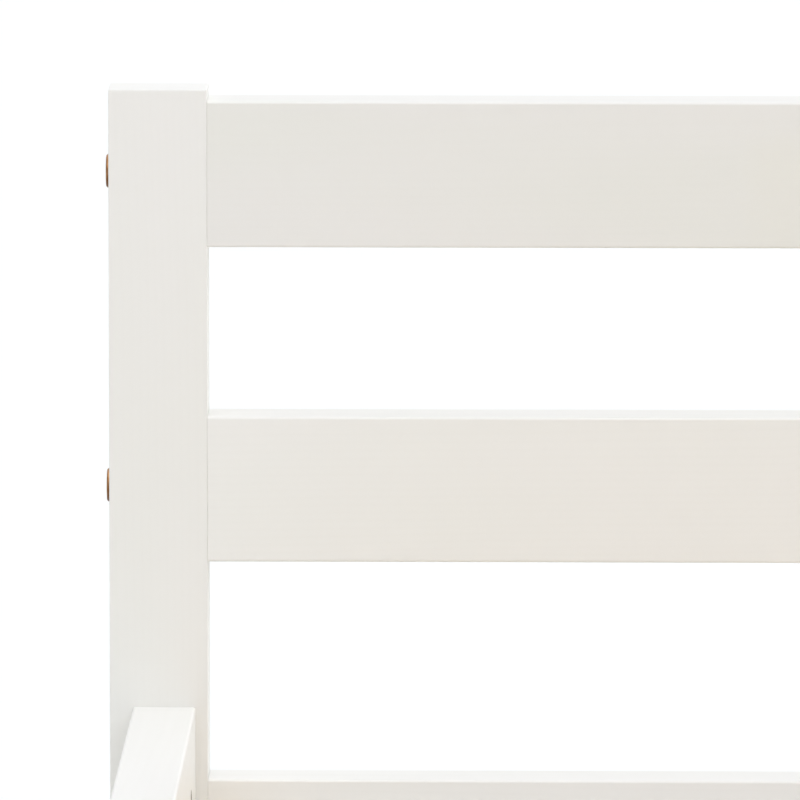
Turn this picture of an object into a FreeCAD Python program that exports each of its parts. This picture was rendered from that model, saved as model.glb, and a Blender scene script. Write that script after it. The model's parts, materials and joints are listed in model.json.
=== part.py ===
import FreeCAD, Part
import os
import re
import Sketcher
from FreeCAD import Placement, Rotation, Vector

# A toddler bed of white-painted pine: two end frames (posts and rails) joined by two side rails,
# with a slatted base on battens inside.  X runs across the bed, Y along it towards the head, and
# Z up.  The origin is on the floor under the middle of the bed.  Lengths are in millimetres.

DIMENSIONS = [
    ("stock", 30, "thickness of posts and rails"),
    ("rail_round", 1.4, "rounding of a rail's long edges"),
    ("post_round", 0.6, "rounding of a post's long edges and top"),
    ("end_bevel", 0.2, "bevel around the sawn end of a rail"),
    ("foot_bevel", 0.5, "bevel around the foot of a post"),
    ("post_width", 47, "width of a post across the bed"),
    ("head_height", 600, "height of the head posts"),
    ("post_reveal", 5.5, "how far a post stands above its top rail"),
    ("rail_height", 70, "height of every rail"),
    ("upper_step", 151.2, "drop from the head's top rail to its middle rail"),
    ("lower_step", 175.2, "drop from the head's middle rail to its lower rail"),
    ("bolt_stagger", 35, "how far side rails sit above the lower end rails"),
    ("well_width", 710, "clear width between the side rails"),
    ("well_length", 1410, "clear length between the end frames"),
    ("rail_setback", 6, "side rail's inner face behind the post's inner face"),
    ("batten_width", 25, "width of the batten under the slats"),
    ("batten_height", 18, "height of the batten"),
    ("batten_length", 1400, "length of the batten"),
    ("batten_bevel", 0.8, "bevel along the batten's edges"),
    ("slat_count", 13, "number of slats"),
    ("slat_length", 700, "length of a slat"),
    ("slat_width", 65, "width of a slat"),
    ("slat_thickness", 12, "thickness of a slat"),
    ("slat_round", 1.5, "rounding of a slat's long edges"),
    ("bolt_diameter", 6, "shank of a connector bolt"),
    ("bolt_hole", 7, "hole for a connector bolt"),
    ("bolt_spare", 10, "depth of the bolt hole past the barrel nut"),
    ("bolt_head", 16, "diameter of the bolt's flat head"),
    ("bolt_head_rise", 1.5, "thickness of the bolt's flat head"),
    ("bolt_head_bevel", 0.6, "bevel around the bolt's head"),
    ("hex_key", 4, "width of the bolt's hexagon socket across flats"),
    ("hex_depth", 3, "depth of the hexagon socket"),
    ("frame_bolt", 90, "length of the end frame's bolts under the head"),
    ("side_bolt", 100, "length of the side rail's bolts under the head"),
    ("frame_nut_inset", 38, "barrel nut's distance from the end of an end rail"),
    ("side_nut_inset", 62, "barrel nut's distance from the end of a side rail"),
    ("nut_diameter", 10, "diameter of a barrel nut"),
    ("nut_hole", 10.2, "hole for a barrel nut"),
    ("nut_hole_depth", 26, "depth of the barrel nut's hole"),
    ("nut_length", 22, "length of a barrel nut"),
    ("nut_thread", 6.2, "cross hole through a barrel nut"),
    ("nut_slot_width", 1.2, "width of the barrel nut's screwdriver slot"),
    ("nut_slot_depth", 1.5, "depth of the screwdriver slot"),
    ("dowel_diameter", 8, "diameter of a wooden dowel"),
    ("dowel_hole", 8.2, "hole for a dowel"),
    ("dowel_in_post", 14, "length of a dowel held in the post"),
    ("dowel_in_rail", 16, "length of a dowel held in the rail"),
    ("dowel_spare", 0.5, "space past each end of a dowel"),
    ("dowel_bevel", 0.8, "bevel at a dowel's ends"),
    ("dowel_offset", 22, "dowel's distance above or below the bolt"),
    ("screw_diameter", 3.5, "shank of a countersunk screw"),
    ("screw_hole", 3.8, "hole for a countersunk screw"),
    ("screw_head", 7, "diameter of the screw's head"),
    ("screw_sink", 7.6, "diameter of the countersink"),
    ("screw_point", 1.4, "bevel that points the screw's tip"),
    ("cross_length", 3.6, "length of the cross recess in a screw's head"),
    ("cross_width", 0.8, "width of the cross recess"),
    ("cross_depth", 1.5, "depth of the cross recess"),
    ("slat_screw", 28, "length of a slat screw"),
    ("batten_screw", 44, "length of a batten screw"),
    ("screw_spare", 2, "space past a screw's tip"),
    ("screw_edge", 10, "slat screw's distance from the slat's end"),
    ("sink_slope", 45, "slope of a countersink, in degrees"),
]

# Formulas in the sheet's words.  Heights are those of the boards' middles above the floor.
TOP_RAIL = "(head_height - post_reveal - rail_height / 2)"
MIDDLE_RAIL = f"({TOP_RAIL} - upper_step)"
LOWER_RAIL = f"({MIDDLE_RAIL} - lower_step)"
SIDE_RAIL = f"({LOWER_RAIL} + bolt_stagger)"
BATTEN = f"({SIDE_RAIL} - rail_height / 2 + batten_height / 2)"
SLAT_BOTTOM = f"({BATTEN} + batten_height / 2)"
FOOT_HEIGHT = "(head_height - upper_step)"
POST_INNER = "(well_width / 2 - rail_setback)"
POST_OUTER = f"({POST_INNER} + post_width)"
POST_MIDDLE = f"({POST_INNER} + post_width / 2)"
SIDE_RAIL_MIDDLE = "(well_width / 2 + stock / 2)"
END_MIDDLE = "(well_length / 2 + stock / 2)"
BATTEN_MIDDLE = "(well_width / 2 - batten_width / 2)"
SLAT_SCREW = "(slat_length / 2 - screw_edge)"
SLAT_PITCH = "((well_length + slat_width) / (slat_count + 1))"
BATTEN_SCREWS = (-5.5, -3.5, -1.5, 1.5, 3.5, 5.5)  # in slat pitches from the middle of the bed

HEAD_RAILS = (TOP_RAIL, MIDDLE_RAIL, LOWER_RAIL)
FOOT_RAILS = (MIDDLE_RAIL, LOWER_RAIL)

SLATS = next(value for alias, value, meaning in DIMENSIONS if alias == "slat_count")
OUTER_SLAT = (SLATS - 1) // 2  # slat pitches from the middle of the bed to its last slat
NORMAL_AXES = {"XY_Plane": "Z", "XZ_Plane": "Y", "YZ_Plane": "X"}
TOUCH = 0.001  # places closer together than this are the same place

doc = FreeCAD.newDocument("ToddlerBed")
sheet = doc.addObject("Spreadsheet::Sheet", "Sizes")
for row, (alias, value, meaning) in enumerate(DIMENSIONS, start=1):
    sheet.set(f"A{row}", meaning)
    sheet.set(f"B{row}", str(value))
    sheet.setAlias(f"B{row}", alias)
doc.recompute()


def bind(target, prop, formula):
    """Tie a property to a formula of the sheet's words."""
    target.setExpression(prop, re.sub(r"[a-z][a-z_]+\b(?!\()", r"Sizes.\g<0>", formula))


def plus(formula, sign, offset):
    """The formula with the offset added on the side that the sign gives."""
    return f"{formula} + {sign} * {offset}"


# ---- bodies, sketches and features ----

def new_body(label, x="0", y="0", z="0", turn=0):
    """An empty body at a place in the bed, turned about the vertical by some degrees."""
    body = doc.addObject("PartDesign::Body", label)
    body.Label = label
    body.Placement = Placement(Vector(), Rotation(Vector(0, 0, 1), turn))
    for axis, formula in (("x", x), ("y", y), ("z", z)):
        bind(body, f"Placement.Base.{axis}", formula)
    return body


def origin_plane(body, role):
    """One of the body's own origin planes or axes."""
    return next(item for item in body.Origin.OriginFeatures if item.Role == role)


def new_sketch(body, name, role, offset):
    """A sketch parallel to an origin plane, moved along that plane's normal."""
    sketch = body.newObject("Sketcher::SketchObject", name)
    sketch.AttachmentSupport = [(origin_plane(body, role), "")]
    sketch.MapMode = "FlatFace"
    bind(sketch, "AttachmentOffset.Base.z", offset)
    return sketch


def constrain(sketch, formula, *constraint):
    """Add a dimension to a sketch and tie it to a formula."""
    index = sketch.addConstraint(Sketcher.Constraint(*constraint))
    bind(sketch, f"Constraints[{index}]", formula)


def add_circles(sketch, centres, diameter):
    """Circles of one size, with their centres given as pairs of formulas."""
    for across, up in centres:
        circle = sketch.addGeometry(Part.Circle(Vector(1, 1, 0), Vector(0, 0, 1), 1))
        constrain(sketch, diameter, "Diameter", circle, 2)
        constrain(sketch, across, "DistanceX", -1, 1, circle, 3, 1)
        constrain(sketch, up, "DistanceY", -1, 1, circle, 3, 1)


def add_rectangles(sketch, centres, width, height):
    """Upright rectangles of one size, with their centres given as pairs of formulas."""
    for across, up in centres:
        corners = [Vector(0, 0, 0), Vector(2, 0, 0), Vector(2, 2, 0), Vector(0, 2, 0)]
        lines = [
            sketch.addGeometry(Part.LineSegment(start, end))
            for start, end in zip(corners, corners[1:] + corners[:1])
        ]
        for line, following in zip(lines, lines[1:] + lines[:1]):
            sketch.addConstraint(Sketcher.Constraint("Coincident", line, 2, following, 1))
        for line, direction in zip(lines, ("Horizontal", "Vertical") * 2):
            sketch.addConstraint(Sketcher.Constraint(direction, line))
        constrain(sketch, width, "DistanceX", lines[0], 1, lines[0], 2, 2)
        constrain(sketch, height, "DistanceY", lines[1], 1, lines[1], 2, 2)
        constrain(sketch, f"{across} - {width} / 2", "DistanceX", -1, 1, lines[0], 1, 1)
        constrain(sketch, f"{up} - {height} / 2", "DistanceY", -1, 1, lines[0], 1, 1)


def extrude(body, kind, name, sketch, length, side="One side", back=None, reverse=False):
    """A Pad or Pocket of a sketch; the volume has to change, or it points the wrong way."""
    before = body.Shape.Volume if body.Tip else 0
    feature = body.newObject(f"PartDesign::{kind}", name)
    feature.Profile = sketch
    feature.SideType = side
    feature.Reversed = reverse
    bind(feature, "Length", length)
    if back:
        bind(feature, "Length2", back)
    doc.recompute()
    if abs(feature.Shape.Volume - before) < 1:
        raise RuntimeError(f"{body.Label}: {name} changes nothing")
    return feature


def drill(body, name, role, offset, centres, diameter, depth, reverse=False, side="One side"):
    """Plain round holes of one size and depth."""
    sketch = new_sketch(body, f"{name}_sketch", role, offset)
    add_circles(sketch, centres, diameter)
    return extrude(body, "Pocket", name, sketch, depth, side=side, reverse=reverse)


def drill_countersunk(body, name, role, offset, centres, reverse=False):
    """Countersunk screw holes right through a board."""
    sketch = new_sketch(body, f"{name}_sketch", role, offset)
    add_circles(sketch, centres, "screw_hole")
    doc.recompute()
    before = body.Shape.Volume
    hole = body.newObject("PartDesign::Hole", name)
    hole.Profile = sketch
    hole.Reversed = reverse
    hole.DepthType = "ThroughAll"
    hole.HoleCutType = "Countersink"
    hole.HoleCutCustomValues = True
    bind(hole, "Diameter", "screw_hole")
    bind(hole, "HoleCutDiameter", "screw_sink")
    bind(hole, "HoleCutCountersinkAngle", "2 * sink_slope")
    doc.recompute()
    if before - hole.Shape.Volume < 1:
        raise RuntimeError(f"{body.Label}: {name} cuts nothing")
    return hole


def edges_where(feature, test):
    """The names of a feature's edges that pass a test."""
    return [f"Edge{n}" for n, edge in enumerate(feature.Shape.Edges, start=1) if test(edge)]


def dress(body, kind, name, size, test):
    """A Fillet or Chamfer on the edges of the last feature that pass a test."""
    base = body.Tip
    feature = body.newObject(f"PartDesign::{kind}", name)
    feature.Base = (base, edges_where(base, test))
    bind(feature, "Radius" if kind == "Fillet" else "Size", size)
    doc.recompute()
    return feature


def mirror(body, name, role, originals=None):
    """Mirror some features, or the whole shape, in an origin plane."""
    feature = body.newObject("PartDesign::Mirrored", name)
    feature.MirrorPlane = (origin_plane(body, role), [""])
    if originals:
        feature.Originals = originals
    else:
        feature.TransformMode = "Whole shape"
    body.Tip = feature
    doc.recompute()
    return feature


def runs_along_x(edge):
    return edge.BoundBox.XLength > edge.BoundBox.DiagonalLength * 0.99


def lies_across_x(edge):
    return edge.BoundBox.XLength < TOUCH


def is_circle(edge):
    return isinstance(edge.Curve, Part.Circle)


def at_end(body, axis, direction):
    """A test for the edges that lie in the body's end face along its own axis."""
    near, far = ("Min", "Max") if direction > 0 else ("Max", "Min")
    end = getattr(body.Tip.Shape.BoundBox, axis + far)
    return lambda edge: abs(getattr(edge.BoundBox, axis + near) - end) < TOUCH


# ---- painted boards ----

def make_post(label, x_sign, height, rail_heights, end_sign):
    """A post: through holes for the bolts, and blind dowel holes on its two inner faces.

    It is drawn for the head; the foot's posts are turned by half a turn, so the side on which
    its rails meet it changes over.
    """
    inward = -x_sign * end_sign
    body = new_body(label, f"{x_sign} * {POST_MIDDLE}", f"{end_sign} * {END_MIDDLE}",
                    turn=0 if end_sign > 0 else 180)
    sketch = new_sketch(body, "section", "XY_Plane", "0")
    add_rectangles(sketch, [("0", "0")], "post_width", "stock")
    extrude(body, "Pad", "blank", sketch, height)
    dress(body, "Fillet", "rounded_edges", "post_round", lambda edge: edge.BoundBox.ZMax > TOUCH)
    dress(body, "Chamfer", "foot_edges", "foot_bevel", at_end(body, "Z", -1))

    inner_face = f"{inward} * post_width / 2"
    drill(body, "frame_bolt_holes", "YZ_Plane", "0", [("0", z) for z in rail_heights],
          "bolt_hole", "post_width * 2", side="Symmetric")
    drill(body, "frame_dowel_holes", "YZ_Plane", inner_face,
          [("0", plus(z, sign, "dowel_offset")) for z in rail_heights for sign in (-1, 1)],
          "dowel_hole", "dowel_in_post + dowel_spare", reverse=inward < 0)
    side_rail_middle = f"{inward} * ({POST_MIDDLE} - {SIDE_RAIL_MIDDLE})"
    drill(body, "side_bolt_hole", "XZ_Plane", "0", [(side_rail_middle, SIDE_RAIL)],
          "bolt_hole", "stock * 2", side="Symmetric")
    drill(body, "side_dowel_holes", "XZ_Plane", "stock / 2",
          [(side_rail_middle, plus(SIDE_RAIL, sign, "dowel_offset")) for sign in (-1, 1)],
          "dowel_hole", "dowel_in_post + dowel_spare")


def make_rail(label, length, nut_inset, x, y, z, turn):
    """A rail along its own X: end holes for a bolt and two dowels, barrel nut holes facing +Y."""
    body = new_body(label, x, y, z, turn)
    sketch = new_sketch(body, "section", "YZ_Plane", "0")
    add_rectangles(sketch, [("0", "0")], "stock", "rail_height")
    extrude(body, "Pad", "blank", sketch, length, side="Symmetric")
    dress(body, "Fillet", "rounded_edges", "rail_round", runs_along_x)
    dress(body, "Chamfer", "end_edges", "end_bevel", lies_across_x)

    end = f"{length} / 2"
    bolt_hole = drill(body, "bolt_hole", "YZ_Plane", end, [("0", "0")],
                      "bolt_hole", f"{nut_inset} + bolt_spare")
    dowel_holes = drill(body, "dowel_holes", "YZ_Plane", end,
                        [("0", f"{sign} * dowel_offset") for sign in (-1, 1)],
                        "dowel_hole", "dowel_in_rail + dowel_spare")
    nut_hole = drill(body, "nut_hole", "XZ_Plane", "-stock / 2", [(f"{end} - {nut_inset}", "0")],
                     "nut_hole", "nut_hole_depth", reverse=True)
    mirror(body, "other_end", "YZ_Plane", [bolt_hole, dowel_holes, nut_hole])
    return body


def make_end_rail(label, height, end_sign):
    make_rail(label, f"2 * {POST_INNER}", "frame_nut_inset", "0", f"{end_sign} * {END_MIDDLE}",
              height, turn=0 if end_sign > 0 else 180)


def make_side_rail(label, x_sign):
    body = make_rail(label, "well_length", "side_nut_inset", f"{x_sign} * {SIDE_RAIL_MIDDLE}",
                     "0", SIDE_RAIL, turn=x_sign * 90)
    drill(body, "batten_screw_holes", "XZ_Plane", "-stock / 2",
          [(f"{step} * {SLAT_PITCH}", f"{BATTEN} - {SIDE_RAIL}") for step in BATTEN_SCREWS],
          "screw_hole", "batten_screw - batten_width + screw_spare", reverse=True)


# ---- slatted base ----

def make_batten(label, x_sign):
    """A batten along its own X, with its inner side facing +Y."""
    body = new_body(label, f"{x_sign} * {BATTEN_MIDDLE}", "0", BATTEN, turn=x_sign * 90)
    sketch = new_sketch(body, "section", "YZ_Plane", "0")
    add_rectangles(sketch, [("0", "0")], "batten_width", "batten_height")
    extrude(body, "Pad", "blank", sketch, "batten_length", side="Symmetric")
    dress(body, "Chamfer", "eased_edges", "batten_bevel", runs_along_x)
    drill_countersunk(body, "rail_screw_holes", "XZ_Plane", "-batten_width / 2",
                      [(f"{step} * {SLAT_PITCH}", "0") for step in BATTEN_SCREWS], reverse=True)
    drill(body, "slat_screw_holes", "XY_Plane", "batten_height / 2",
          [(f"{step} * {SLAT_PITCH}", f"{BATTEN_MIDDLE} - {SLAT_SCREW}")
           for step in range(-OUTER_SLAT, OUTER_SLAT + 1)],
          "screw_hole", "slat_screw - slat_thickness + screw_spare")


def make_slat(label, step):
    """A slat across the bed, some pitches from the middle."""
    body = new_body(label, "0", f"{step} * {SLAT_PITCH}", SLAT_BOTTOM)
    sketch = new_sketch(body, "outline", "XY_Plane", "0")
    add_rectangles(sketch, [("0", "0")], "slat_length", "slat_width")
    extrude(body, "Pad", "blank", sketch, "slat_thickness")
    dress(body, "Fillet", "rounded_edges", "slat_round", runs_along_x)
    drill_countersunk(body, "screw_holes", "XY_Plane", "slat_thickness",
                      [(f"{sign} * {SLAT_SCREW}", "0") for sign in (-1, 1)])


# ---- fasteners, each group one node of separate solids ----

def cut_sockets(body, role, bottom, centres):
    """Hexagon sockets, each a prism standing on its bottom along the plane's normal."""
    for number, (across, up) in enumerate(centres, start=1):
        socket = body.newObject("PartDesign::SubtractivePrism", f"socket_{number}")
        socket.AttachmentSupport = [(origin_plane(body, role), "")]
        socket.MapMode = "FlatFace"
        socket.Polygon = 6
        bind(socket, "Circumradius", "hex_key / 2 / cos(30)")
        bind(socket, "Height", "hex_depth")
        for axis, formula in (("x", across), ("y", up), ("z", bottom)):
            bind(socket, f"AttachmentOffset.Base.{axis}", formula)
        body.Tip = socket
        doc.recompute()


def make_bolts(body, role, face, centres, length, outward):
    """Flat-headed connector bolts whose heads lie on a face; `outward` is +1 along its normal."""
    heads = new_sketch(body, "heads", role, face)
    add_circles(heads, centres, "bolt_head")
    extrude(body, "Pad", "head", heads, "bolt_head_rise", reverse=outward < 0)
    dress(body, "Chamfer", "head_rim", "bolt_head_bevel", at_end(body, NORMAL_AXES[role], 1))
    shanks = new_sketch(body, "shanks", role, face)
    add_circles(shanks, centres, "bolt_diameter")
    extrude(body, "Pad", "shank", shanks, length, reverse=outward > 0)
    head_top = plus(face, outward, "bolt_head_rise")
    cut_sockets(body, role, f"{head_top} - hex_depth" if outward > 0 else head_top, centres)


def make_frame_bolts(label, rail_heights, end_sign):
    body = new_body(label, y=f"{end_sign} * {END_MIDDLE}")
    make_bolts(body, "YZ_Plane", POST_OUTER, [("0", z) for z in rail_heights], "frame_bolt", 1)
    mirror(body, "other_side", "YZ_Plane")


def make_side_rail_bolts(label):
    body = new_body(label)
    centres = [(f"{sign} * {SIDE_RAIL_MIDDLE}", SIDE_RAIL) for sign in (-1, 1)]
    make_bolts(body, "XZ_Plane", "-well_length / 2 - stock", centres, "side_bolt", -1)
    mirror(body, "other_end", "XZ_Plane")


def make_frame_nuts(label, rail_heights, end_sign):
    """Barrel nuts through the thickness of the end rails, slotted on the outer side."""
    body = new_body(label, y=f"{end_sign} * {END_MIDDLE}", turn=0 if end_sign > 0 else 180)
    barrels = new_sketch(body, "barrels", "XZ_Plane", "0")
    add_circles(barrels, [(f"{sign} * ({POST_INNER} - frame_nut_inset)", z)
                          for sign in (-1, 1) for z in rail_heights], "nut_diameter")
    extrude(body, "Pad", "barrel", barrels, "nut_length", side="Symmetric")
    drill(body, "thread", "YZ_Plane", "0", [("0", z) for z in rail_heights],
          "nut_thread", "well_width * 2", side="Symmetric")
    slots = new_sketch(body, "slots", "XZ_Plane", "-nut_length / 2")
    add_rectangles(slots, [("0", z) for z in rail_heights], "well_width", "nut_slot_width")
    extrude(body, "Pocket", "slot", slots, "nut_slot_depth", reverse=True)


def make_side_nuts(label):
    """Barrel nuts through the thickness of the side rails, slotted on the inner side."""
    body = new_body(label, z=SIDE_RAIL)
    places = [f"{sign} * (well_length / 2 - side_nut_inset)" for sign in (-1, 1)]
    barrels = new_sketch(body, "barrels", "YZ_Plane", SIDE_RAIL_MIDDLE)
    add_circles(barrels, [(y, "0") for y in places], "nut_diameter")
    extrude(body, "Pad", "barrel", barrels, "nut_length", side="Symmetric")
    drill(body, "thread", "XZ_Plane", "0", [(SIDE_RAIL_MIDDLE, "0")],
          "nut_thread", "well_length * 2", side="Symmetric")
    slots = new_sketch(body, "slots", "YZ_Plane", f"{SIDE_RAIL_MIDDLE} - nut_length / 2")
    add_rectangles(slots, [("0", "0")], "well_length", "nut_slot_width")
    extrude(body, "Pocket", "slot", slots, "nut_slot_depth", reverse=True)
    mirror(body, "other_side", "YZ_Plane")


def add_dowels(body, role, face, centres, into_post_reversed):
    """Dowels that cross a joint between a rail's end and a post's face."""
    sketch = new_sketch(body, "section", role, face)
    add_circles(sketch, centres, "dowel_diameter")
    extrude(body, "Pad", "dowel", sketch, "dowel_in_post", side="Two sides",
            back="dowel_in_rail", reverse=into_post_reversed)
    dress(body, "Chamfer", "ends", "dowel_bevel", is_circle)


def make_frame_dowels(label, rail_heights, end_sign):
    body = new_body(label, y=f"{end_sign} * {END_MIDDLE}")
    add_dowels(body, "YZ_Plane", POST_INNER,
               [("0", plus(z, sign, "dowel_offset")) for z in rail_heights for sign in (-1, 1)],
               into_post_reversed=False)
    mirror(body, "other_side", "YZ_Plane")


def make_side_dowels(label):
    body = new_body(label, z=SIDE_RAIL)
    add_dowels(body, "XZ_Plane", "-well_length / 2",
               [(f"{across} * {SIDE_RAIL_MIDDLE}", f"{up} * dowel_offset")
                for across in (-1, 1) for up in (-1, 1)],
               into_post_reversed=True)
    mirror(body, "other_end", "XZ_Plane")


def add_screws(body, role, face, centres, length, reverse):
    """Countersunk screws with crossed recesses, driven in from a face."""
    shanks = new_sketch(body, "shanks", role, face)
    add_circles(shanks, centres, "screw_diameter")
    extrude(body, "Pad", "shank", shanks, length, reverse=reverse)
    dress(body, "Chamfer", "point", "screw_point",
          at_end(body, NORMAL_AXES[role], -1 if reverse else 1))
    heads = new_sketch(body, "heads", role, face)
    add_circles(heads, centres, "screw_head")
    cone = extrude(body, "Pad", "head", heads, "(screw_head - screw_diameter) / 2",
                   reverse=reverse)
    bind(cone, "TaperAngle", "-sink_slope")
    doc.recompute()
    for name, width, height in (("across", "cross_length", "cross_width"),
                                ("upright", "cross_width", "cross_length")):
        recess = new_sketch(body, f"recess_{name}", role, face)
        add_rectangles(recess, centres, width, height)
        extrude(body, "Pocket", f"cross_{name}", recess, "cross_depth", reverse=not reverse)


def make_slat_screws(label):
    body = new_body(label, z=SLAT_BOTTOM)
    add_screws(body, "XY_Plane", "slat_thickness",
               [(f"{sign} * {SLAT_SCREW}", f"-{OUTER_SLAT} * {SLAT_PITCH}") for sign in (-1, 1)],
               "slat_screw", reverse=True)
    row = body.newObject("PartDesign::LinearPattern", "along_the_bed")
    row.TransformMode = "Whole shape"
    row.Direction = (origin_plane(body, "Y_Axis"), [""])
    row.Mode = "Spacing"
    bind(row, "Offset", SLAT_PITCH)
    bind(row, "Occurrences", "slat_count")
    body.Tip = row
    doc.recompute()


def make_batten_screws(label):
    body = new_body(label, z=BATTEN)
    add_screws(body, "YZ_Plane", "well_width / 2 - batten_width",
               [(f"{step} * {SLAT_PITCH}", "0") for step in BATTEN_SCREWS],
               "batten_screw", reverse=False)
    mirror(body, "other_side", "YZ_Plane")


# ---- the bed ----

SIDES = (("left", -1), ("right", 1))

for side, x_sign in SIDES:
    make_post(f"head_post_{side}", x_sign, "head_height", HEAD_RAILS, 1)
    make_post(f"foot_post_{side}", x_sign, FOOT_HEIGHT, FOOT_RAILS, -1)
    make_side_rail(f"side_rail_{side}", x_sign)
    make_batten(f"batten_{side}", x_sign)
for name, height in zip(("top", "middle", "lower"), HEAD_RAILS):
    make_end_rail(f"head_{name}_rail", height, 1)
for name, height in zip(("top", "lower"), FOOT_RAILS):
    make_end_rail(f"foot_{name}_rail", height, -1)
for number in range(1, SLATS + 1):
    make_slat(f"slat_{number:02d}", number - 1 - OUTER_SLAT)
for end, rail_heights, end_sign in (("head", HEAD_RAILS, 1), ("foot", FOOT_RAILS, -1)):
    make_frame_bolts(f"{end}_frame_bolts", rail_heights, end_sign)
    make_frame_nuts(f"{end}_barrel_nuts", rail_heights, end_sign)
    make_frame_dowels(f"{end}_dowels", rail_heights, end_sign)
make_side_rail_bolts("side_rail_bolts")
make_side_nuts("side_rail_barrel_nuts")
make_side_dowels("side_rail_dowels")
make_slat_screws("slat_screws")
make_batten_screws("batten_screws")

doc.recompute()
for item in doc.Objects:
    if "Invalid" in item.State or "Error" in item.State:
        raise RuntimeError(f"{item.Label} failed: {item.State}")

bodies = [item for item in doc.Objects if item.isDerivedFrom("PartDesign::Body")]
for body in bodies:
    if body.Shape.isNull() or not body.Shape.isValid():
        raise RuntimeError(f"{body.Label} has no valid shape")

os.makedirs("parts", exist_ok=True)
for body in bodies:
    body.Shape.exportStep(f"parts/{body.Label}.step")
    box = body.Shape.BoundBox
    print(f"{body.Label}: {len(body.Shape.Solids)} solids, {body.Shape.Volume:.0f} mm3, "
          f"x {box.XMin:.1f} to {box.XMax:.1f}, y {box.YMin:.1f} to {box.YMax:.1f}, "
          f"z {box.ZMin:.1f} to {box.ZMax:.1f}")
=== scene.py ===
import json
import math

import bpy
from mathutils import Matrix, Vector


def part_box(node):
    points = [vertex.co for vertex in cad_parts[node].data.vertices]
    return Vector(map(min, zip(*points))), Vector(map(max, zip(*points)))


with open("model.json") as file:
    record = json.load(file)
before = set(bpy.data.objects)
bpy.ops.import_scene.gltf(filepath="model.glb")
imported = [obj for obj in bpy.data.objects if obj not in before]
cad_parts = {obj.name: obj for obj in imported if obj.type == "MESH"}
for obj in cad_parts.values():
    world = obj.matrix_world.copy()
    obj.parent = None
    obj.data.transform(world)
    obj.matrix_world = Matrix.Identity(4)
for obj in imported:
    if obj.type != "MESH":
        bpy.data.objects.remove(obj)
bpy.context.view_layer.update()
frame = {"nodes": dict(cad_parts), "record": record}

# A white-painted pine toddler bed, seen from its foot side at the head end's left corner.
# Lengths are in metres in the frame of the CAD model: X across, Y towards the head, Z up.

X, Y, Z = range(3)


# ---- camera ----

SENSOR = 36.0                    # millimetres, as Blender counts its sensor and lens
LENS = 572.0
CAMERA_RIGHT = 0.2458            # from the left head post's top corner, outermost and footmost
CAMERA_BACK = 6.007
CAMERA_ABOVE = 0.6414
LOOK_DOWN = 7.49                 # degrees
LOOK_LEFT = 1.02
FURTHEST_SEEN = 100.0


def make_camera():
    low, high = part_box("head_post_left")
    data = bpy.data.cameras.new("camera")
    data.sensor_width = SENSOR
    data.lens = LENS
    data.clip_end = FURTHEST_SEEN
    camera = bpy.data.objects.new("camera", data)
    camera.location = (low.x + CAMERA_RIGHT, low.y - CAMERA_BACK, high.z + CAMERA_ABOVE)
    camera.rotation_euler = (math.radians(90 - LOOK_DOWN), 0, math.radians(LOOK_LEFT))
    bpy.context.scene.collection.objects.link(camera)
    bpy.context.scene.camera = camera


# ---- the boards' places ----

def middle_of(node):
    low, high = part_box(node)
    return (low + high) / 2


def length_axis_of(node):
    low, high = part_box(node)
    size = high - low
    return max((X, Y, Z), key=lambda axis: size[axis])


# ---- node trees ----

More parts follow.
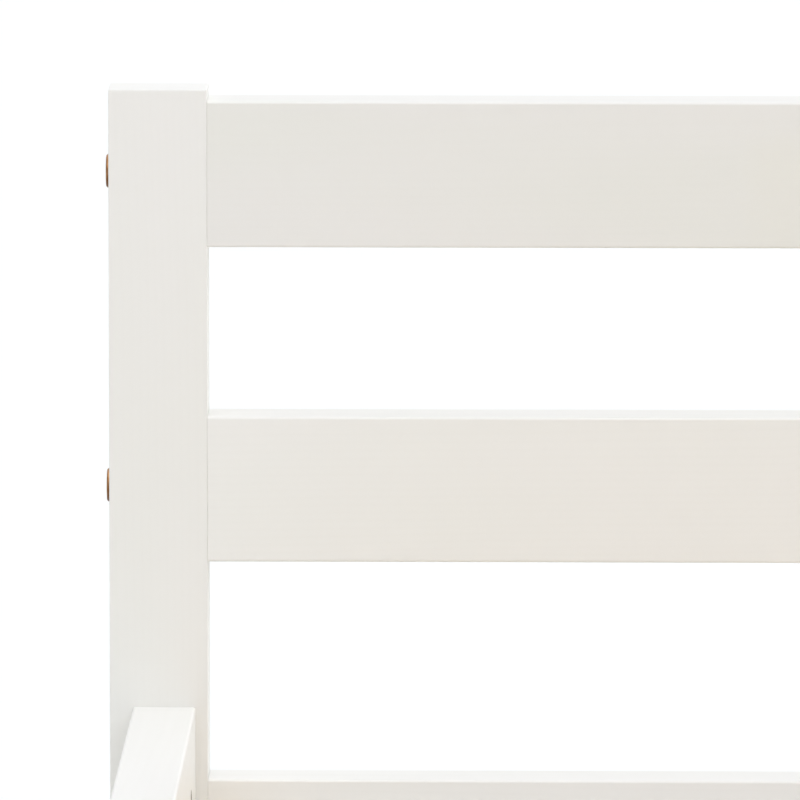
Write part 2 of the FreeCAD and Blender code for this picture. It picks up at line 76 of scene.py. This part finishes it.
class Tree:
    """The node tree of a material or world, built one call at a time.

    A value is a number, a tuple or a socket."""

    def __init__(self, owner):
        owner.use_nodes = True
        self.owner = owner
        self.nodes = owner.node_tree.nodes
        self.links = owner.node_tree.links

    def add(self, kind, inputs, **settings):
        node = self.nodes.new(kind)
        for name, value in settings.items():
            setattr(node, name, value)
        for name, value in inputs.items():
            self.feed(node.inputs[name], value)
        return node

    def feed(self, socket, value):
        if isinstance(value, bpy.types.NodeSocket):
            self.links.new(value, socket)
        elif isinstance(value, tuple) and len(value) == 3 and socket.type == "RGBA":
            socket.default_value = (*value, 1)
        else:
            socket.default_value = value

    def position(self):
        """The place on the object, which is in metres in the frame's own axes."""
        return self.add("ShaderNodeTexCoord", {}).outputs["Object"]

    def math(self, operation, first, second=0.0, clamp=False):
        inputs = {0: first, 1: second}
        return self.add("ShaderNodeMath", inputs, operation=operation, use_clamp=clamp).outputs[0]

    def vector(self, operation, first, second, output="Vector"):
        node = self.add("ShaderNodeVectorMath", {0: first, 1: second}, operation=operation)
        return node.outputs[output]

    def scaled(self, vector, factor):
        inputs = {0: vector, "Scale": factor}
        return self.add("ShaderNodeVectorMath", inputs, operation="SCALE").outputs[0]

    def joined(self, *parts):
        return self.add("ShaderNodeCombineXYZ", dict(enumerate(parts))).outputs[0]

    def parts(self, vector):
        return self.add("ShaderNodeSeparateXYZ", {0: vector}).outputs

    def length(self, across, up):
        """The length of a flat vector."""
        flat = {0: self.joined(across, up)}
        return self.add("ShaderNodeVectorMath", flat, operation="LENGTH").outputs["Value"]

    def mapped(self, vector, scale):
        return self.add("ShaderNodeMapping", {"Vector": vector, "Scale": scale}).outputs[0]

    def noise(self, vector, scale=1.0, detail=2.0, roughness=0.5, output=0):
        inputs = {"Vector": vector, "Scale": scale, "Detail": detail, "Roughness": roughness}
        return self.add("ShaderNodeTexNoise", inputs).outputs[output]

    def blend(self, amount, first, second):
        node = self.add("ShaderNodeMix", {0: amount}, data_type="RGBA")
        first_colour, second_colour = (entry for entry in node.inputs if entry.type == "RGBA")
        self.feed(first_colour, first)
        self.feed(second_colour, second)
        return next(entry for entry in node.outputs if entry.type == "RGBA")

    def smooth(self, value, low, high, out_low=0.0, out_high=1.0):
        inputs = {"Value": value, "From Min": low, "From Max": high, "To Min": out_low,
                  "To Max": out_high}
        return self.add("ShaderNodeMapRange", inputs, interpolation_type="SMOOTHSTEP").outputs[0]

    def ramp(self, value, stops):
        """A ramp of greys from (place, grey) stops."""
        node = self.add("ShaderNodeValToRGB", {0: value})
        elements = node.color_ramp.elements
        while len(elements) < len(stops):
            elements.new(0.5)
        for element, (place, grey) in zip(elements, stops):
            element.position = place
            element.color = (grey, grey, grey, 1)
        return node.outputs[0]

    def surface(self, base, roughness, height, bump, distance, **numbers):
        shader = self.nodes["Principled BSDF"]
        relief = {"Height": height, "Strength": bump, "Distance": distance}
        self.feed(shader.inputs["Base Color"], base)
        self.feed(shader.inputs["Roughness"], roughness)
        self.feed(shader.inputs["Normal"], self.add("ShaderNodeBump", relief).outputs[0])
        for name, value in numbers.items():
            self.feed(shader.inputs[name], value)
        return self.owner


def new_material(name):
    return Tree(bpy.data.materials.new(name))


# ---- light and floor ----

# The soft panels of the studio's ceiling and walls: the side each lies on, the sine of its
# height, how far it fades out above and below that, and its brightness.
PANELS = (
    ((0, -1, 0), 0.65, 0.20, (5.05, 5.10, 5.20)),
    ((1, 0, 0), 0.50, 0.25, (3.45, 3.50, 3.55)),
    ((0, 1, 0), 0.25, 0.25, (1.85, 1.85, 1.85)),
    ((-1, 0, 0), 0.25, 0.25, (0.70, 0.70, 0.70)),
    ((0, 0, 1), 1.00, 0.20, (2.60, 2.68, 2.76)),
)
BACKDROP = (1.0, 1.0, 1.0)
BACKDROP_HEIGHT = 0.035          # sine of the height at which the pale backdrop ends
FLOOR_SIZE = 30.0
FLOOR_GAP = 0.0002               # between the bed's feet and the floor
FLOOR_GRAIN = 900                # noise scale
FLOOR_SHADES = ((0.93, 0.93, 0.925), (0.95, 0.95, 0.945))


def make_studio():
    tree = Tree(bpy.data.worlds.new("studio"))
    bpy.context.scene.world = tree.owner
    way = tree.add("ShaderNodeTexCoord", {}).outputs["Generated"]
    height = tree.parts(way)[Z]
    light = tree.scaled(BACKDROP, tree.math("LESS_THAN", height, BACKDROP_HEIGHT))
    for side, middle, reach, colour in PANELS:
        off_middle = tree.math("ABSOLUTE", tree.math("SUBTRACT", height, middle))
        fade = tree.math("SUBTRACT", 1.0, tree.math("DIVIDE", off_middle, reach), clamp=True)
        facing = tree.math("MAXIMUM", tree.vector("DOT_PRODUCT", way, side, "Value"), 0.0)
        panel = tree.scaled(colour, tree.math("MULTIPLY", fade, facing))
        light = tree.vector("ADD", light, panel)
    tree.feed(tree.nodes["Background"].inputs["Color"], light)


def make_floor():
    half = FLOOR_SIZE / 2
    mesh = bpy.data.meshes.new("floor")
    corners = [(-half, -half, -FLOOR_GAP), (half, -half, -FLOOR_GAP),
               (half, half, -FLOOR_GAP), (-half, half, -FLOOR_GAP)]
    mesh.from_pydata(corners, [], [(0, 1, 2, 3)])
    floor = bpy.data.objects.new("floor", mesh)
    bpy.context.scene.collection.objects.link(floor)
    tree = new_material("floor")
    grain = tree.noise(tree.position(), FLOOR_GRAIN)
    base = tree.blend(grain, *FLOOR_SHADES)
    mesh.materials.append(tree.surface(base, 0.7, grain, bump=0.1, distance=0.0001))


# ---- wood ----

PITH_DISTANCE = 0.055            # from a board's middle to the middle of its log
GOLDEN_ANGLE = 2.399963          # radians, which spreads the boards' cuts round their logs
SEED_SHIFT = 1.7                 # metres along the log from one board to the next
# The period is set so that the head end's middle and lower rails come out paler: painted light on
# those rails, over a tone that differs from board to board.
TONE_PERIOD = 7.2                # boards from one of the palest to the next

# Noise scales along the grain and twice across it.
FIBRES = (9, 1100, 1100)
STREAKS = (2.2, 160, 160)
CLOUDS = (2.5, 9, 9)
WANDERING = (1.6, 7, 7)

RING_SPACING = 0.0034
RING_WANDER = 0.016
RING_DRIFT = 0.012               # outwards per metre of length
RING_BULGE = 0.009               # round a knot
# How dark the wood is from one ring's start to the next one's, as (place, darkness).
RING_STOPS = ((0.0, 0.25), (0.12, 0.0), (0.55, 0.12), (0.88, 1.0), (1.0, 0.3))

# Knots are placed on squares of the log's length and girth. Their sizes are in squares.
KNOT_CELL = 0.13                 # the side of a square, with one chance of a knot
KNOT_RARITY = 0.62               # the share of the squares with no knot
KNOT_SIZE = 0.062                # the radius of the largest knot
KNOT_SHAKE = (0.06, 0.06, 0.0)   # how far an outline strays from round
KNOT_SHAKE_SCALE = 90
KNOT_EDGE = (0.014, -0.006)      # from the outline, where clear wood ends and the knot is full
KNOT_RIM = (-0.022, 0.004)       # from the outline, where the dark rim begins and is full
KNOT_HALO = 0.16                 # how far the wood round a knot is stained
KNOT_RINGS = 75                  # in one square


class Wood:
    """Solid pine inside a board: growth rings about a log's pith, fine fibres and knots.

    Everything follows from the place in the board, so faces, edges and sawn ends agree."""

    def __init__(self, tree, node, seed):
        length_axis = length_axis_of(node)
        middle = middle_of(node)
        turn = seed * GOLDEN_ANGLE
        self.paleness = 0.5 + 0.5 * math.cos(seed * math.tau / TONE_PERIOD)
        place = tree.parts(tree.position())
        along = tree.math("ADD", place[length_axis], seed * SEED_SHIFT)
        flat_axes = [axis for axis in (X, Y, Z) if axis != length_axis]
        across, up = (
            tree.math("ADD", place[axis], swing * PITH_DISTANCE - middle[axis])
            for axis, swing in zip(flat_axes, (math.cos(turn), math.sin(turn)))
        )
        inside = tree.joined(along, across, up)
        self.fibre = tree.noise(tree.mapped(inside, FIBRES), detail=3, roughness=0.6)
        self.streak = tree.noise(tree.mapped(inside, STREAKS), detail=3)
        self.cloud = tree.noise(tree.mapped(inside, CLOUDS))
        self.add_knots(tree, inside, along, tree.math("ARCTAN2", up, across))
        self.add_rings(tree, inside, along, tree.length(across, up))

    def tone(self, dull, pale):
        """The board's colour, which is the same all over it: a tone from board to board, which
        makes the head end's middle and lower rails paler as painted light.
        """
        return tuple(low + (high - low) * self.paleness for low, high in zip(dull, pale))

    def add_knots(self, tree, inside, along, angle):
        """Knots are spokes from the pith, so they are laid out by length and angle."""
        around = tree.math("MULTIPLY", angle, PITH_DISTANCE / KNOT_CELL)
        cell = tree.joined(tree.math("DIVIDE", along, KNOT_CELL), around)
        shake = tree.noise(inside, KNOT_SHAKE_SCALE, output="Color")
        shaken = tree.vector("ADD", cell, tree.mapped(shake, KNOT_SHAKE))
        cells = tree.add("ShaderNodeTexVoronoi", {"Vector": shaken, "Scale": 1.0},
                         voronoi_dimensions="2D").outputs
        chance = tree.add("ShaderNodeSeparateColor", {0: cells["Color"]}).outputs[0]
        present = tree.math("GREATER_THAN", chance, KNOT_RARITY)
        size = tree.smooth(chance, KNOT_RARITY, 1.0, 0.0, KNOT_SIZE)
        away = tree.math("SUBTRACT", cells["Distance"], size)
        self.knot = tree.math("MULTIPLY", tree.smooth(away, *KNOT_EDGE), present)
        self.halo = tree.math("MULTIPLY", tree.smooth(away, KNOT_HALO, 0.0), present)
        self.knot_rim = tree.smooth(away, *KNOT_RIM)
        self.knot_ring = tree.math("FRACT", tree.math("MULTIPLY", cells["Distance"], KNOT_RINGS))

    def add_rings(self, tree, inside, along, radius):
        """Rings about the pith: they wander, drift along the board and bulge round knots."""
        wander = tree.noise(tree.mapped(inside, WANDERING), detail=3)
        shifts = ((RING_WANDER, wander), (RING_DRIFT, along), (RING_BULGE, self.halo))
        for amount, source in shifts:
            radius = tree.math("ADD", radius, tree.math("MULTIPLY", source, amount))
        phase = tree.math("FRACT", tree.math("DIVIDE", radius, RING_SPACING))
        self.ring = tree.ramp(phase, RING_STOPS)


# ---- materials ----

# A board's colours come in pairs, for the dullest board and the palest.
PAINT = ((0.834, 0.827, 0.782), (0.889, 0.880, 0.845))
PAINT_CLOUD = ((0.848, 0.831, 0.803), (0.902, 0.886, 0.862))
PAINT_OVER_KNOT = (0.835, 0.81, 0.71)
PAINT_OVER_RING = (0.80, 0.78, 0.73)
PAINT_PEEL = 650                 # noise scale of the paint's own texture
# bare wood in the nut holes, darkened far below the pine's colour as painted shade
BARE_HOLE_AND_PAINTED_SHADE = (0.20, 0.13, 0.08)
HOLE_WALL = 0.0003               # from a barrel nut to just past the wall of its hole
HOLE_DEPTH = 0.00003             # below a rail's face, where a hole's bare wood begins

EARLY_WOOD = ((0.81, 0.69, 0.53), (0.85, 0.745, 0.60))
EARLY_WOOD_CLOUD = ((0.85, 0.74, 0.59), (0.89, 0.795, 0.66))
LATE_WOOD = ((0.68, 0.48, 0.30), (0.74, 0.55, 0.37))
STREAK = (0.76, 0.61, 0.43)
KNOT_STAIN = (0.58, 0.34, 0.15)
KNOT_HEART = ((0.38, 0.18, 0.07), (0.52, 0.29, 0.13))
KNOT_BARK = (0.20, 0.085, 0.035)

BEECH = ((0.72, 0.52, 0.34), (0.78, 0.60, 0.42))
BEECH_FLECK = (0.52, 0.33, 0.19)
BEECH_FLECKS = (900, 300, 900)   # noise scales
BEECH_CLOUDS = 60

# The darker colour after each plated pair is painted shade, laid on the faces that point down.
BRONZE = ((0.38, 0.18, 0.07), (0.57, 0.31, 0.15))
BRONZE_PAINTED_SHADE = (0.16, 0.07, 0.025)
ZINC = ((0.52, 0.53, 0.56), (0.68, 0.69, 0.71))
ZINC_PAINTED_SHADE = (0.48, 0.49, 0.51)
METAL_CLOUDS = 350               # noise scale
TUMBLING_MARKS = (2600, 1400, 2200)


def nut_holes(tree, node):
    """A mask that is 1 on the walls of a rail's two barrel nut holes and 0 on its faces."""
    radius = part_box("side_rail_barrel_nuts")[1].z - middle_of("side_rail_barrel_nuts").z
    if length_axis_of(node) == X:
        # The foot end's nuts are as far across the bed as the head end's.
        nuts, length, thickness = "head_barrel_nuts", X, Y
    else:
        nuts, length, thickness = "side_rail_barrel_nuts", Y, X
    nut_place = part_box(nuts)[1][length] - radius
    middle = middle_of(node)
    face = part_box(node)[1][thickness] - middle[thickness]
    place = tree.parts(tree.position())
    aside = tree.math("SUBTRACT", tree.math("ABSOLUTE", place[length]), nut_place)
    away = tree.length(aside, tree.math("SUBTRACT", place[Z], middle.z))
    inside = tree.math("LESS_THAN", away, radius + HOLE_WALL)
    off_middle = tree.math("ABSOLUTE", tree.math("SUBTRACT", place[thickness], middle[thickness]))
    sunk = tree.math("LESS_THAN", off_middle, face - HOLE_DEPTH)
    return tree.math("MULTIPLY", sunk, inside)


def paint_material(node, seed):
    """Satin off-white paint over pine: the grain shows as faint relief, and knots as a warm tint.

    A rail's nut holes were drilled after painting, so they show bare wood, painted far darker than
    the pine as painted shade in the holes."""
    tree = new_material(f"white_paint_{node}")
    wood = Wood(tree, node, seed)
    cloud = tree.smooth(wood.cloud, 0.35, 0.65)
    clean = tree.blend(cloud, wood.tone(*PAINT), wood.tone(*PAINT_CLOUD))
    tinted = tree.blend(tree.math("MULTIPLY", wood.halo, 0.22), clean, PAINT_OVER_KNOT)
    base = tree.blend(tree.math("MULTIPLY", wood.ring, 0.06), tinted, PAINT_OVER_RING)
    if length_axis_of(node) != Z:
        # The nut holes' bare wood is darkened as painted shade in the holes.
        base = tree.blend(nut_holes(tree, node), base, BARE_HOLE_AND_PAINTED_SHADE)
    peel = tree.noise(tree.position(), PAINT_PEEL, detail=1)
    relief = tree.math("ADD", tree.math("MULTIPLY", wood.ring, 0.5),
                       tree.math("MULTIPLY", wood.fibre, 0.6))
    height = tree.math("ADD", relief, tree.math("MULTIPLY", peel, 0.35))
    roughness = tree.smooth(wood.streak, 0.3, 0.7, 0.36, 0.46)
    return tree.surface(base, roughness, height, bump=0.25, distance=0.00008)


def pine_material(node, seed):
    """Bare planed pine."""
    tree = new_material(f"bare_pine_{node}")
    wood = Wood(tree, node, seed)
    early = tree.blend(wood.cloud, wood.tone(*EARLY_WOOD), wood.tone(*EARLY_WOOD_CLOUD))
    ringed = tree.blend(tree.math("MULTIPLY", wood.ring, 0.55), early, wood.tone(*LATE_WOOD))
    streaked = tree.blend(tree.smooth(wood.streak, 0.42, 0.78, 0.0, 0.40), ringed, STREAK)
    haloed = tree.blend(tree.math("MULTIPLY", wood.halo, 0.40), streaked, KNOT_STAIN)
    heart = tree.blend(wood.knot_ring, *KNOT_HEART)
    core = tree.blend(wood.knot_rim, heart, KNOT_BARK)
    base = tree.blend(wood.knot, haloed, core)
    height = tree.math("ADD", tree.math("MULTIPLY", wood.ring, 0.6),
                       tree.math("MULTIPLY", wood.fibre, 0.8))
    roughness = tree.smooth(wood.ring, 0.0, 1.0, 0.62, 0.48)
    return tree.surface(base, roughness, height, bump=0.35, distance=0.00012)


def beech_material(name):
    """Bare beech with its short dark flecks."""
    tree = new_material(name)
    place = tree.position()
    flecks = tree.noise(tree.mapped(place, BEECH_FLECKS))
    pale = tree.blend(tree.noise(place, BEECH_CLOUDS), *BEECH)
    base = tree.blend(tree.smooth(flecks, 0.55, 0.75), pale, BEECH_FLECK)
    roughness = tree.smooth(flecks, 0.3, 0.7, 0.55, 0.7)
    return tree.surface(base, roughness, flecks, bump=0.3, distance=0.0001)


def metal_material(name, shades, painted_shade, smooth, rough):
    """Plated steel: a slightly uneven colour, darkened as painted shade on the faces that point
    down, with fine tumbling marks.
    """
    tree = new_material(name)
    place = tree.position()
    cloud = tree.noise(place, METAL_CLOUDS, detail=4, roughness=0.65)
    marks = tree.noise(tree.mapped(place, TUMBLING_MARKS), detail=3)
    facing = tree.parts(tree.add("ShaderNodeNewGeometry", {}).outputs["Normal"])[Z]
    plated = tree.blend(tree.smooth(cloud, 0.35, 0.65), *shades)
    # Painted shade: the faces that point down take the darker colour.
    base = tree.blend(tree.smooth(facing, 0.75, -0.75), plated, painted_shade)
    roughness = tree.smooth(marks, 0.3, 0.7, smooth, rough)
    return tree.surface(base, roughness, marks, bump=0.2, distance=0.00004, Metallic=1.0)


def dress_nodes():
    """Give every CAD node the material of its slot."""
    slots = {part["node"]: part["material_slot"] for part in frame["record"]["subparts"]}
    shared = {
        "bronze_bolt": metal_material("bronze_bolt", BRONZE, BRONZE_PAINTED_SHADE, 0.30, 0.48),
        "zinc_steel": metal_material("zinc_steel", ZINC, ZINC_PAINTED_SHADE, 0.28, 0.45),
        "beech": beech_material("beech"),
    }
    boards = {"white_paint": paint_material, "bare_pine": pine_material}
    for seed, (name, node) in enumerate(sorted(frame["nodes"].items()), start=1):
        slot = slots[name]
        if slot in boards:
            material = boards[slot](name, seed)
        else:
            material = shared[slot]
        node.data.materials.clear()
        node.data.materials.append(material)


make_camera()
make_studio()
make_floor()
dress_nodes()
bpy.context.scene.view_settings.view_transform = "Standard"
